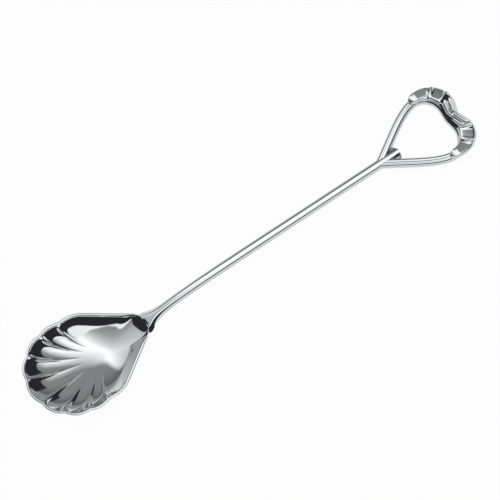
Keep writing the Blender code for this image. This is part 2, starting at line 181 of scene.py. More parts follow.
class RibbonBow(bpy.types.PropertyGroup):
    """Sizes of the two ribbon loops, in the heart's plane. Shares run along a loop, from limb to knot."""

    start: position("Start", "Middle of the band on the limb (p, q)", (14.9, 8.75))
    lobe: position("Lobe", "Where the band turns in to the knot (p, q)", (22.75, 4.1))
    end: position("End", "Middle of the band under the knot (p, q)", (21.9, 0.05))
    start_pull: position("Start pull", "Handle of the curve at the limb (p, q)", (3.4, 1.35))
    lobe_pull: position("Lobe pull", "Handle of that curve at the lobe (p, q)", (-0.1, 3.8))
    lobe_let: position("Lobe let", "Handle of the next curve at the lobe (p, q)", (0.05, -1.1))
    end_pull: position("End pull", "Handle of that curve at the knot (p, q)", (0, 1.3))
    start_half_width: length("Start half width", "Of the band on the limb", 1.3)
    lobe_half_width: length("Lobe half width", "Of the band at its widest", 2.2)
    end_half_width: length("End half width", "Of the band under the knot", 1.9)
    start_round: share("Start round", "Length of the rounded start", 0.09)
    widen_by: share("Widen by", "Place where the band is widest", 0.6)
    thickness: length("Thickness", "Of the band", 0.75)
    base: length("Base", "Height of the band's underside over the wire's plane", 1.1)
    tilt: angle("Tilt", "At which the band falls away to its outer edge, from the first fold on", 14)
    start_rise: length("Start rise", "How far the start stands over the first fold", 0.65)
    crown: length("Crown", "Rise of its middle over its edges", 0.12)
    flat_start: share("Flat start", "Length of the start that lies flat on the limb", 0.15)
    first_fold: share("First fold", "Place of the cross fold on the limb's side", 0.4)
    last_fold: share("Last fold", "Place of the cross fold on the knot's side", 0.67)
    fold_step: length("Fold step", "How far the band between the folds stands over the rest", 0.3)
    fold_lip: length("Fold lip", "How far the rolled lip of a fold stands over that", 0.3)
    fold_width: share("Fold width", "Length of the step and of the lip", 0.055)
    pleat: length("Pleat", "Height of the gathers beside the knot", 0.42)
    pleats: IntProperty(name="Pleats", description="Number of gathers", default=3)
    pleats_from: share("Pleats from", "Place where the gathers start", 0.74)


class BowKnot(bpy.types.PropertyGroup):
    """Sizes of the knot, in the heart's plane (p, q, height)."""

    middle: position("Middle", "Of the knot", (21.7, 0, 2.4))
    half: position("Half size", "Of the knot", (0.95, 0.9, 0.75))
    squareness: power("Squareness", "Power of its rounded block", 2.8)
    dimple: length("Dimple", "Its depth", 1.2)
    dimple_radius: length("Dimple radius", "Over which it fades", 0.4)


class PointSolder(bpy.types.PropertyGroup):
    """Sizes of the solder in the heart's point (p, q, height)."""

    middle: position("Middle", "Of the pad", (3.9, 0, -0.25))
    half: position("Half size", "Of the pad", (1.75, 2.2, 0.75))
    squareness: power("Squareness", "Power of its rounded block", 2.2)


class Finish(bpy.types.PropertyGroup):
    """Colours of the metals, and the size of the haze and the lines that polishing leaves."""

    steel: colour("Steel", "Where its polish is clear", "c6c8cb")
    hazed_steel: colour("Hazed steel", "Where its polish is cloudy", "cccccb")
    solder: colour("Solder", "Where it is rubbed clear", "c2c3c4")
    hazed_solder: colour("Hazed solder", "Where it is cloudy", "cecdca")
    haze: length("Haze", "Size of the clouds in the polish", 6)
    hairline: length("Hairline", "Depth of the polishing lines", 0.0006)


class Studio(bpy.types.PropertyGroup):
    """Light levels of the tent, in which 1 is white, and the colours of the floor and of the dark gap."""

    floor: colour("Floor", "Of the paper sheet", "fafafa")
    roof_glow: share("Roof glow", "Light that the lamp adds to the roof overhead", 0.86)
    roof_far: share("Far roof", "Roof far from the lamp", 0.43)
    roof_most: share("Near roof", "Roof beside the lamp", 1.72)
    panel: share("Panel", "Strip of light over the dark gap", 1.4)
    side: share("Side", "Upper part of the unlit side", 0.37)
    side_foot: share("Side foot", "Lower part of the unlit side", 0.2)
    horizon: share("Horizon", "Near the floor on the lit side", 1.3)
    far_horizon: share("Far horizon", "Near the floor on the unlit side", 0.42)
    gap: share("Gap", "Dark gap below the panel", 0.04)
    gap_tint: colour("Gap tint", "Of the dark cloth in the gap", "ebe9ff")


def smoothstep(low, high, value):
    """0 up to the low limit, 1 from the high limit on, and a smooth rise between."""
    part = min(max((value - low) / (high - low), 0.0), 1.0)
    return part * part * (3 - 2 * part)


def loft(rings, closed=True):
    """A skin through rings of equally many points, with a cap on the first and the last when it is closed.

    One circle is extruded from ring to ring, and each point keeps its number round the ring.
    """
    bm = bmesh.new()
    number = bm.verts.layers.int.new("number")
    ring = bmesh.ops.create_circle(bm, segments=len(rings[0]), radius=1)["verts"]
    for index, vert in enumerate(ring):
        vert[number] = index
        vert.co = rings[0][index]
    edges = list(bm.edges)
    if closed:
        bmesh.ops.contextual_create(bm, geom=edges)
    for points in rings[1:]:
        made = bmesh.ops.extrude_edge_only(bm, edges=edges)["geom"]
        edges = [part for part in made if isinstance(part, bmesh.types.BMEdge)]
        ring = {vert for edge in edges for vert in edge.verts}
        edges = [edge for edge in edges if edge.is_boundary]
        for vert in ring:
            vert.co = points[vert[number]]
    if closed:
        bmesh.ops.contextual_create(bm, geom=edges)
    return bm


def ray_out_of_circle(ray, centre, radius):
    """Distance along a ray from the middle to where it leaves a circle."""
    along = ray.dot(centre)
    return along + sqrt(along * along - centre.length_squared + radius * radius)


def rim_reach(bowl, turn, inset):
    """Distance from the round end's centre to the plain rim, at an angle from the tip.

    The rim is a round end, two flanks, two shoulders, straight sides and a round heel.
    """
    radius = bowl.tip_radius - inset
    ray = Vector((-cos(turn), abs(sin(turn))))
    if ray.x <= 0:
        return radius
    shoulder = bowl.shoulder_radius - inset
    shoulder_centre = Vector((bowl.flank, radius - shoulder))
    square_to_side = Vector((sin(bowl.side_angle), cos(bowl.side_angle)))
    side_start = shoulder_centre + shoulder * square_to_side
    heel = bowl.heel_radius - inset
    heel_centre = Vector(((square_to_side.dot(side_start) - heel) / square_to_side.x, 0))
    side_end = heel_centre + heel * square_to_side
    slope = ray.y / ray.x
    if slope > radius / bowl.flank:
        return radius / ray.y
    if slope > side_start.y / side_start.x:
        return ray_out_of_circle(ray, shoulder_centre, shoulder)
    if slope > side_end.y / side_end.x:
        return square_to_side.dot(side_start) / square_to_side.dot(ray)
    return ray_out_of_circle(ray, heel_centre, heel)


# Turns are measured from the tip. The first share is of a ridge's round, and the others are of the way down
# the wall, from the rim to the deepest point.
RIDGE_TURNS = [radians(turn) for turn in (18, 48, 78, 104)]
SIDE_RIDGE_SHARE = 0.3
LIP_THINS = (radians(164), radians(174))
AIM_MOVES = (radians(80), radians(150))
HEEL_STEEPENS = (radians(157), radians(176))
HEEL_FALL_POWER = 6
FLUTE_DEEPEST = 0.4
FLUTE_FADES = 0.35
CREST_HIGHEST = 0.09
CREST_FADES = 0.2


def scallop_share(bowl, turn):
    """0 on a ridge, 1 in the middle of a flute. The long side flutes fade out at the heel."""
    turn = abs(turn)
    ridges = [-RIDGE_TURNS[0], *RIDGE_TURNS]
    for start, end in zip(ridges, ridges[1:]):
        if turn <= end:
            across = (turn - start) / (end - start)
            edge = min(across, 1 - across)
            width = bowl.ridge_round
            if edge < width:
                return 2 * width + 2 * (1 - 2 * width) / width * edge * edge
            return 4 * across * (1 - across)
    across = (turn - ridges[-1]) / (pi - ridges[-1])
    most = 4 / 27  # of across * (1 - across) ** 2
    start = 2 * bowl.ridge_round * exp(-across / (bowl.ridge_round * SIDE_RIDGE_SHARE))
    return bowl.side_scallop * across * (1 - across) ** 2 / most + start


def outside_waist(bowl, point):
    """Over 0 outside the bowl's waist, a smooth egg shape that is narrower towards the heel."""
    along = (point.x - bowl.waist_x) / bowl.waist_length
    across = point.y / (bowl.waist_width * (1 - bowl.waist_taper * along))
    return along * along + across * across - 1


def waist_point(bowl, rim, aim):
    """Where the line from the rim to its aim crosses the waist, found by halving."""
    halvings = 30
    outer, inner = rim, aim
    for _ in range(halvings):
        half = outer.lerp(inner, 0.5)
        if outside_waist(bowl, half) > 0:
            outer = half
        else:
            inner = half
    return inner


def ridge_crest(bowl, turn):
    """1 on the crest of a ridge, 0 beside it."""
    flute = RIDGE_TURNS[1] - RIDGE_TURNS[0]
    nearest = min(abs(abs(turn) - ridge) for ridge in RIDGE_TURNS)
    return 1 - smoothstep(0, bowl.ridge_width, nearest / flute)


def lip_width(bowl, turn):
    """Width of the rim's edge, which thins out under the stem's foot."""
    return bowl.lip + (bowl.heel_lip - bowl.lip) * smoothstep(*LIP_THINS, abs(turn))


def bowl_meridian(bowl, turn, lip_share, depth, levels):
    """Points down the wall, from a place on the lip through the waist to the deepest point."""
    outward = Vector((-cos(turn), sin(turn)))
    middle = Vector((-bowl.tip_to_focus, 0))
    rim = middle + rim_reach(bowl, turn, lip_share * lip_width(bowl, turn)) * outward
    aim = middle * (1 - smoothstep(*AIM_MOVES, abs(turn)))
    waist = waist_point(bowl, rim, aim)
    fluted = scallop_share(bowl, turn)
    crest = ridge_crest(bowl, turn)
    fullness = bowl.side_fullness + (bowl.tip_fullness - bowl.side_fullness) * (1 + cos(turn)) / 2
    heel_fall = bowl.heel_fall * smoothstep(*HEEL_STEEPENS, abs(turn))
    points = []
    for down in levels:
        plan = (1 - down) ** 2 * rim + 2 * down * (1 - down) * waist
        swell = bowl.scallop + (bowl.flute - bowl.scallop) * smoothstep(0, FLUTE_DEEPEST, down)
        plan += outward * swell * fluted * (1 - smoothstep(FLUTE_FADES, bowl.flute_end, down))
        fall = depth * (1 - (1 - down) ** fullness) + heel_fall * down * (1 - down) ** HEEL_FALL_POWER
        rise = bowl.ridge_rise * crest * smoothstep(0, sqrt(CREST_HIGHEST), sqrt(down))
        rise *= 1 - smoothstep(CREST_FADES, bowl.flute_end, down)
        points.append(Vector((plan.x, plan.y, rise - bowl.lip_height - fall)))
    return points


def rim_turns():
    """Turns of the points round the rim, crowded towards the heel along the sides."""
    per_flute = 36
    per_side = 60
    crowding = 1.8
    ridges = [-turn for turn in reversed(RIDGE_TURNS)] + RIDGE_TURNS
    turns = []
    for start, end in zip(ridges, ridges[1:]):
        turns += [start + (end - start) * i / per_flute for i in range(per_flute)]
    side = [pi - (pi - ridges[-1]) * (1 - i / per_side) ** crowding for i in range(per_side + 1)]
    return turns + side + [-turn for turn in side[-2:0:-1]]


def bowl_rings(bowl, lip_share, depth, levels):
    """Rings round the bowl, one at each of the levels down its wall."""
    walls = [bowl_meridian(bowl, turn, lip_share, depth, levels) for turn in rim_turns()]
    return [list(ring) for ring in zip(*walls)]


def bowl_place(bowl):
    """Turns the bowl by its pitch and sets its worn flat on the table."""
    height = bowl.depth + bowl.sheet - bowl.rest_cut
    return Matrix.Translation((0, 0, height)) @ Matrix.Rotation(bowl.pitch, 4, "Y")


def add_node(tree, kind, inputs=(), **settings):
    """Adds a node with its settings. Each input is a value, or an output to link."""
    node = tree.nodes.new("ShaderNode" + kind)
    for name, value in settings.items():
        setattr(node, name, value)
    pairs = inputs.items() if isinstance(inputs, dict) else enumerate(inputs)
    for socket, value in pairs:
        if isinstance(value, bpy.types.NodeSocket):
            tree.links.new(value, node.inputs[socket])
        else:
            node.inputs[socket].default_value = value
    return node


# Distance under which points are merged, and angles from which an edge is shaded as a crease.
WELD = 0.0001 * MM
CREASE = radians(40)
STEM_CREASE = radians(13)


def add_piece(name, bm, node, material, place=None, crease=CREASE):
    """A finished piece at the origin, which rides on the spoon and stands for one solid."""
    bmesh.ops.remove_doubles(bm, verts=bm.verts, dist=WELD)
    bmesh.ops.recalc_face_normals(bm, faces=bm.faces)
    if place:
        bmesh.ops.transform(bm, matrix=place, verts=bm.verts)
    mesh = bpy.data.meshes.new(name)
    bm.to_mesh(mesh)
    bm.free()
    mesh.shade_smooth()
    mesh.set_sharp_from_angle(angle=crease)
    mesh.materials.append(material)
    piece = bpy.data.objects.new(name, mesh)
    bpy.context.collection.objects.link(piece)
    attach(piece, "root")
    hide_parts(node)
    return piece


# Roughness of clear and of cloudy metal, and the haze times the hairlines at which it is one or the other.
STEEL_GLOSS = (0.025, 0.05)
SOLDER_GLOSS = (0.42, 0.55)
CLOUDED = (0.1, 0.4)
# Sockets of a Mix node that mixes colours.
FACTOR, FIRST, SECOND, RESULT = 0, 6, 7, 2


def buffed_metal(name, finish, tones, gloss, grain):
    """Metal with two tones and two roughnesses that change over its haze, and with fine hairlines.

    The grain is the spacing of the hairlines along X, Y and Z, in millimetres. Real ones are about ten times
    finer, and are drawn as coarse as they need to be to show.
    """
    material = bpy.data.materials.new(name)
    material.use_nodes = True
    tree = material.node_tree
    shader = tree.nodes["Principled BSDF"]
    shader.inputs["Metallic"].default_value = 1
    place = add_node(tree, "TexCoord").outputs["Object"]
    clouds = {"Vector": place, "Scale": 1 / finish.haze, "Detail": 3}
    haze = add_node(tree, "TexNoise", clouds).outputs["Fac"]
    spacing = {"Vector": place, "Scale": [1 / (step * MM) for step in grain]}
    stretched = add_node(tree, "Mapping", spacing).outputs["Vector"]
    lines = add_node(tree, "TexNoise", {"Vector": stretched, "Scale": 1, "Detail": 2}).outputs["Fac"]
    clear, hazed = [(*tone, 1) for tone in tones]
    mixed = {FACTOR: haze, FIRST: clear, SECOND: hazed}
    tone = add_node(tree, "Mix", mixed, data_type="RGBA").outputs[RESULT]
    clouded = add_node(tree, "Math", [haze, lines], operation="MULTIPLY").outputs[0]
    roughness = add_node(tree, "MapRange", [clouded, *CLOUDED, *gloss]).outputs["Result"]
    raised = {"Height": lines, "Strength": 1, "Distance": finish.hairline}
    relief = add_node(tree, "Bump", raised).outputs["Normal"]
    for socket, value in (("Base Color", tone), ("Roughness", roughness), ("Normal", relief)):
        tree.links.new(value, shader.inputs[socket])
    return material


def mirror_steel(piece, finish, grain):
    """Stainless steel, buffed to a mirror."""
    tones = (finish.steel, finish.hazed_steel)
    return buffed_metal("mirror-polished " + piece + " steel", finish, tones, STEEL_GLOSS, grain)


def wear_flat(ring, place):
    """Stops a ring of the bowl's outside at the table, on which its worn flat lies."""
    back = place.inverted()
    placed = [place @ point for point in ring]
    return [back @ Vector((point.x, point.y, max(point.z, 0))) for point in placed]


class SPOON_OT_bowl(bpy.types.Operator):
    """Adds the fluted shell bowl"""

    bl_idname = "spoon.bowl"
    bl_label = "Shell Bowl"

    def execute(self, context):
        bowl, finish = context.scene.spoon_bowl, context.scene.spoon_finish
        steps = 44
        arc_steps = 10
        levels = [i / steps for i in range(steps + 1)]
        place = bowl_place(bowl)
        outside = bowl_rings(bowl, 0, bowl.depth + bowl.sheet - bowl.lip_height, levels)
        outside = [wear_flat(ring, place) for ring in outside]
        inside = bowl_rings(bowl, 1, bowl.depth - bowl.lip_height, levels)
        lip = []
        for i in range(1, arc_steps):
            turn = pi * i / arc_steps
            ring = bowl_rings(bowl, (1 - cos(turn)) / 2, 0, [0])[0]
            lip.append([point + Vector((0, 0, bowl.lip_height * sin(turn))) for point in ring])
        bm = loft(outside[::-1] + lip + inside, closed=False)
        # Pressed sheet, buffed to a mirror: deep blacks and clear whites, with a cloudy haze in the flutes.
        steel = mirror_steel("bowl", finish, grain=(4, 0.35, 0.35))
        add_piece("polished_bowl", bm, "bowl", steel, place)
        return {"FINISHED"}


def ring_round(centre, across, up, count):
    """Ring of points on an ellipse."""
    turns = [2 * pi * i / count for i in range(count)]
    return [centre + across * cos(turn) + up * sin(turn) for turn in turns]


def mirrored(rings):
    """The same rings on the spoon's other side."""
    return [[Vector((point.x, -point.y, point.z)) for point in ring] for ring in rings]


def stem_slope(stem, heart):
    """Slope at which the far end of the heart's wire touches the table."""
    return atan((stem.crest - heart.radius) / (heart.start_x + heart.top - stem.heel_x))


def stem_line(stem, heart, x):
    """Height of the stem's straight line."""
    return stem.crest - tan(stem_slope(stem, heart)) * (x - stem.heel_x)


def heart_place(stem, heart):
    """Puts the heart's plane, with its p, q and height, at the far end of the stem's line."""
    height = stem_line(stem, heart, heart.start_x)
    turn = Matrix.Rotation(stem_slope(stem, heart), 4, "Y")
    return Matrix.Translation((heart.start_x, 0, height)) @ turn


ROD_POINTS = 144
# How far along its rounding the foot's first ring lies, so that it isn't a point.
FOOT_NOSE = 0.3 * MM


def stem_ring(stem, heart, x):
    """Ring of the rod: round along its length, wide and flat-topped in the fishtail foot."""
    fade = exp(-max((x - stem.heel_x) / stem.bevel_length, 0))
    dip = stem.dip * exp(-max((x - stem.dip_x) / stem.dip_length, 0))
    flare = stem.flare * exp(-(x - stem.flare_x) / stem.flare_length)
    flare /= 1 + flare / stem.flare_limit
    rounding = min((x - stem.foot_start + FOOT_NOSE) / stem.foot_round, 1)
    width = (stem.radius + flare) * sqrt(rounding * (2 - rounding))
    height = stem.radius - (stem.radius - stem.foot_half_height) * fade
    centre = Vector((x, 0, stem_line(stem, heart, x) - dip))
    ring = ring_round(Vector(), Vector((0, width, 0)), Vector((0, 0, height)), ROD_POINTS)
    for point in ring:
        flank = (abs(point.y) + abs(point.z)) / width
        bevelled = (flank**stem.foot_edge + abs(point.z / height) ** stem.foot_edge) ** (1 / stem.foot_edge)
        point *= 1 + fade * (1 / bevelled - 1)
    return [centre + point for point in ring]


def slice_off(bm, place, square):
    """Cuts off what lies beyond a plane, and closes the cut."""
    geom = [*bm.verts, *bm.edges, *bm.faces]
    made = bmesh.ops.bisect_plane(bm, geom=geom, plane_co=place, plane_no=square, clear_outer=True)
    rim = [part for part in made["geom_cut"] if isinstance(part, bmesh.types.BMEdge)]
    bmesh.ops.contextual_create(bm, geom=rim)


def file_tip(bm, stem, heart, end):
    """Files the rod's end to an overhanging point, with a fine facet on either side of its crest."""
    place = heart_place(stem, heart)
    tip = Vector((end - heart.start_x, 0, 0))
    crest = tip + Vector((0, 0, stem.radius))
    for lean in (-1, 1):
        square = Vector((cos(stem.tip_point), lean * sin(stem.tip_point), -tan(stem.tip_cut)))
        slice_off(bm, place @ crest, square)
        aside = Vector((0, lean * sin(stem.facet_lean), cos(stem.facet_lean)))
        facet = tip + aside * (stem.radius - stem.facet_depth)
        fall = Vector((stem.facet_depth / stem.facet_length, 0, 0))
        slice_off(bm, place @ facet, place.to_3x3() @ (aside + fall))


def filled_bowl(bowl):
    """The room inside the bowl with its skin a little way into the wall, filled to well over the rim."""
    lip_share = 0.9
    levels = [0.0, 0.1, 0.2, 0.35, 0.5, 0.7, 0.9]
    rings = bowl_rings(bowl, lip_share, bowl.depth, levels)
    brim = [point + Vector((0, 0, bowl.depth)) for point in rings[0]]
    bm = loft(rings[::-1] + [brim])
    bmesh.ops.recalc_face_normals(bm, faces=bm.faces)
    bmesh.ops.transform(bm, matrix=bowl_place(bowl), verts=bm.verts)
    mesh = bpy.data.meshes.new("filled_bowl")
    bm.to_mesh(mesh)
    bm.free()
    filled = bpy.data.objects.new("filled_bowl", mesh)
    bpy.context.collection.objects.link(filled)
    return filled


def carve(piece, cutter):
    """Cuts one piece by another, which is then removed."""
    boolean = piece.modifiers.new("carve", "BOOLEAN")
    boolean.object = cutter
    graph = bpy.context.evaluated_depsgraph_get()
    carved = bpy.data.meshes.new_from_object(piece.evaluated_get(graph))
    piece.modifiers.remove(boolean)
    carved.set_sharp_from_angle(angle=STEM_CREASE)
    piece.data = carved
    bpy.data.objects.remove(cutter)


class SPOON_OT_stem(bpy.types.Operator):
    """Adds the round stem with its flared foot and pointed tip"""

    bl_idname = "spoon.stem"
    bl_label = "Rod Stem"

    def execute(self, context):
        bowl, stem, heart = context.scene.spoon_bowl, context.scene.spoon_stem, context.scene.spoon_heart
        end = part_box("stem")[1].x
        foot_steps = 70
        rod_steps = 24
        crowding = 1.6
        foot = [
            stem.foot_start + (stem.foot_end - stem.foot_start) * (i / foot_steps) ** crowding
            for i in range(foot_steps)
        ]
        rod = [stem.foot_end + (end - stem.foot_end) * i / rod_steps for i in range(rod_steps + 1)]
        bm = loft([stem_ring(stem, heart, x) for x in foot + rod])
        file_tip(bm, stem, heart, end)
        # Drawn rod, buffed along its length: long streaks of light with hairlines that run the same way.
        steel = mirror_steel("stem", context.scene.spoon_finish, grain=(14, 0.3, 0.3))
        piece = add_piece("polished_stem", bm, "stem", steel, crease=STEM_CREASE)
        carve(piece, filled_bowl(bowl))
        return {"FINISHED"}


def bezier_points(knots, steps):
    """Points along a chain of curves, each given by its two ends and the two handles between."""
    points = [knots[0][0]]
    for knot in knots:
        points += interpolate_bezier(*knot, steps + 1)[1:]
    return points


def heart_path(heart, steps):
    """Points (p, q) of the wire's left half, from the heart's point round to its notch."""
    point = Vector((heart.point, 0))
    limb = heart.limb_handle * Vector((cos(heart.limb_angle), sin(heart.limb_angle)))
    wide = Vector((heart.widest, heart.half_width))
    top = Vector((heart.top, heart.top_q))
    notch = Vector((heart.notch, 0))
    lobe = [
        (point, point + limb, wide - Vector((heart.widest_handle, 0)), wide),
        (wide, wide + Vector((heart.shoulder_handle, 0)), top + Vector((0, heart.shoulder_handle)), top),
        (top, top - Vector((0, heart.notch_handle)), notch + Vector((0, heart.notch_handle / 2)), notch),
    ]
    return bezier_points(lobe, steps)


WIRE_STEPS = 40
WIRE_POINTS = 96
# Distance of the wire's coped ends from the spoon's middle plane, and the rings that the copes cut off.
COPE_GAP = 0.05 * MM
COPED_RINGS = 3


def wire_ring(heart, middle, ahead):
    """Ring of the wire round a point of its path, with the fine groove in its top."""
    across = Vector((-ahead.y, ahead.x, 0)).normalized() * heart.radius
    ring = ring_round(middle.to_3d(), across, Vector((0, 0, heart.radius)), WIRE_POINTS)
    for point in ring:
        if point.z > 0:
            aside = (point.to_2d() - middle).length
            point.z -= heart.groove * exp(-((aside / heart.groove_width) ** 2))
    return ring


class SPOON_OT_heart_wire(bpy.types.Operator):
    """Adds the wire that is bent into a heart"""

    bl_idname = "spoon.heart_wire"
    bl_label = "Heart Wire"

    def execute(self, context):
        stem, heart = context.scene.spoon_stem, context.scene.spoon_heart
        path = heart_path(heart, WIRE_STEPS)
        half = []
        for i, middle in enumerate(path):
            ahead = path[min(i + 1, len(path) - 1)] - path[max(i - 1, 0)]
            # In the notch the wire runs straight across, so that its halves meet.
            if i == len(path) - 1:
                ahead = Vector((0, -1))
            half.append(wire_ring(heart, middle, ahead))
        limb = (path[1] - path[0]).normalized().to_3d()
        half[0] = [point - limb * (point.y - COPE_GAP) / limb.y for point in half[1]]
        half[1 : 1 + COPED_RINGS] = []
        bm = loft(half + mirrored(half[-2::-1]))
        # Bent wire, tumbled and buffed: bright lines along its bends, with a faint even haze.
        steel = mirror_steel("wire", context.scene.spoon_finish, grain=(1.6, 0.5, 0.5))
        place = heart_place(stem, heart)
        add_piece("polished_heart_wire", bm, "heart_wire", steel, place)
        return {"FINISHED"}


def ribbon_path(bow, count):
    """Evenly spaced points (p, q) along the middle of a loop, from the limb to the knot."""
    start, lobe, end = Vector(bow.start), Vector(bow.lobe), Vector(bow.end)
    knots = [
        (start, start + Vector(bow.start_pull), lobe + Vector(bow.lobe_pull), lobe),
        (lobe, lobe + Vector(bow.lobe_let), end + Vector(bow.end_pull), end),
    ]
    fine_steps = 200
    points = bezier_points(knots, fine_steps)
    lengths = [0.0]
    for before, after in zip(points, points[1:]):
        lengths.append(lengths[-1] + (after - before).length)
    even = []
    j = 0
    for i in range(count):
        goal = lengths[-1] * i / (count - 1)
        while j < len(points) - 2 and lengths[j + 1] < goal:
            j += 1
        even.append(points[j].lerp(points[j + 1], (goal - lengths[j]) / (lengths[j + 1] - lengths[j])))
    return even


def ribbon_half_width(bow, along):
    """Narrow and rounded where it starts on the limb, widest on the shoulder, drawn in at the knot."""
    width = bow.start_half_width
    width += (bow.lobe_half_width - bow.start_half_width) * smoothstep(0, bow.widen_by, along)
    width += (bow.end_half_width - bow.lobe_half_width) * smoothstep(bow.pleats_from, 1, along)
    narrowest = 0.3
    return width * (narrowest + (1 - narrowest) * sqrt(min(along / bow.start_round, 1)))


def ribbon_fall(bow, along, across):
    """How far the band falls away towards its outer edge, past the first fold."""
    tilted = smoothstep(bow.first_fold - bow.fold_width, bow.first_fold, along)
    return tan(bow.tilt) * ribbon_half_width(bow, along) * across * tilted


def ribbon_underside(bow, along, across):
    """Height of the band's lower side, which lies on the wire."""
    return bow.base - ribbon_fall(bow, along, across) - bow.crown * across * across


# Share of the band's fall that a fold's lip makes up for, and shares of its thickness that it loses at its
# edges and keeps at its start. The powers set how sharp the furrows are, and how narrow the thin edges.
LIP_LEVEL = 0.8
EDGE_LOSS = 0.6
START_LEFT = 0.35
FURROW_POWER = 1.2
EDGE_POWER = 8


def ribbon_thickness(bow, along, across):
    """Raised between two rolled cross folds, with gathers that run to the knot."""
    first, last = bow.first_fold, bow.last_fold
    width = bow.fold_width
    nose = min(along / bow.start_round, 1)
    slope = min(max((first - along) / (first - bow.flat_start), 0), 1)
    raised = smoothstep(first - width, first, along) * (1 - smoothstep(last, last + width, along))
    lips = sum(exp(-(((along - lip) / (width / 2)) ** 2)) for lip in (first + width / 2, last - width / 2))
    gathers = smoothstep(bow.pleats_from - width, bow.pleats_from + width, along)
    furrow = abs(cos(bow.pleats * pi * (across + 1) / 2)) ** FURROW_POWER
    level = LIP_LEVEL * ribbon_fall(bow, along, across)
    thick = bow.thickness + bow.start_rise * slope + bow.fold_step * raised + (bow.fold_lip + level) * lips
    thick -= bow.pleat * gathers * furrow
    thick *= 1 - EDGE_LOSS * across**EDGE_POWER
    return thick * (START_LEFT + (1 - START_LEFT) * sqrt(nose * (2 - nose)))


def ribbon_ring(bow, along, middle, ahead):
    """Ring round the left band: its top from edge to edge, and its lower side back."""
    upper_steps = 90
    lower_steps = 11
    lower_reach = 0.9
    upper = [(-1 + 2 * k / upper_steps, True) for k in range(upper_steps + 1)]
    lower = [(lower_reach * (1 - 2 * k / lower_steps), False) for k in range(lower_steps + 1)]
    outward = Vector((-ahead.y, ahead.x)) * ribbon_half_width(bow, along)
    ring = []
    for across, is_top in upper + lower:
        plan = middle + outward * across
        height = ribbon_underside(bow, along, across)
        if is_top:
            height += ribbon_thickness(bow, along, across)
        ring.append(Vector((plan.x, plan.y, height)))
    return ring


class SPOON_OT_ribbon(bpy.types.Operator):
    """Adds the two loops of the ribbon bow"""

    bl_idname = "spoon.ribbon"
    bl_label = "Ribbon Loops"

    def execute(self, context):
        stem, heart, bow = context.scene.spoon_stem, context.scene.spoon_heart, context.scene.spoon_bow
        stations = 260
        path = ribbon_path(bow, stations)
        left = []
        for i, middle in enumerate(path):
            ahead = (path[min(i + 1, stations - 1)] - path[max(i - 1, 0)]).normalized()
            left.append(ribbon_ring(bow, i / (stations - 1), middle, ahead))
        for name, rings in (("left", left), ("right", mirrored(left))):
            node = "ribbon_" + name + "_loop"
            # Cast band, tumbled and buffed: softer than the wire, with a cloudy polish in its folds.
            steel = mirror_steel(name + " ribbon", context.scene.spoon_finish, grain=(0.9, 0.9, 0.9))
            place = heart_place(stem, heart)
            add_piece(name + "_ribbon_loop", loft(rings), node, steel, place)
        return {"FINISHED"}


def pillow(sizes):
    """Closed rounded block: a ball squared off by a power over 2."""
    bm = bmesh.new()
    around = 96
    upwards = 64
    bmesh.ops.create_uvsphere(bm, u_segments=around, v_segments=upwards, radius=1)
    for vert in bm.verts:
        size = sum(abs(value) ** sizes.squareness for value in vert.co) ** (1 / sizes.squareness)
        squared = [value / size * reach for value, reach in zip(vert.co, sizes.half)]
        vert.co = Vector(sizes.middle) + Vector(squared)
    return bm


class SPOON_OT_knot(bpy.types.Operator):
    """Adds the dimpled knot of the bow"""

    bl_idname = "spoon.knot"
    bl_label = "Knot"

    def execute(self, context):
        stem, heart = context.scene.spoon_stem, context.scene.spoon_heart
        knot = context.scene.spoon_knot
        bm = pillow(knot)
        middle = Vector(knot.middle)
        for vert in bm.verts:
            aside = (vert.co - middle).to_2d().length
            if vert.co.z > middle.z:
                vert.co.z -= knot.dimple * (1 - smoothstep(0, knot.dimple_radius, aside))
        # Cast bead, tumbled with the band: a small bright bead with the band's cloudy polish.
        steel = mirror_steel("knot", context.scene.spoon_finish, grain=(0.6, 0.6, 0.6))
        add_piece("bow_knot", bm, "ribbon_knot", steel, heart_place(stem, heart))
        return {"FINISHED"}


class SPOON_OT_solder(bpy.types.Operator):
    """Adds the solder in the point of the heart"""

    bl_idname = "spoon.solder"
    bl_label = "Point Solder"

    def execute(self, context):
        stem, heart = context.scene.spoon_stem, context.scene.spoon_heart
        bm = pillow(context.scene.spoon_solder)
        finish = context.scene.spoon_finish
        tones = (finish.solder, finish.hazed_solder)
        # Silver solder, rubbed down with fine paper: a soft grey sheen without clear reflections.
        grain = (0.35, 0.35, 0.35)
        solder = buffed_metal("satin silver solder", finish, tones, SOLDER_GLOSS, grain)
        add_piece("solder_pad", bm, "point_solder", solder, heart_place(stem, heart))
        return {"FINISHED"}


FLOOR_REACH = 2
# Share of plain white that the eye and the polish see on the paper. The rest is its shade and the shadow.
WHITE_SHARE = 0.94


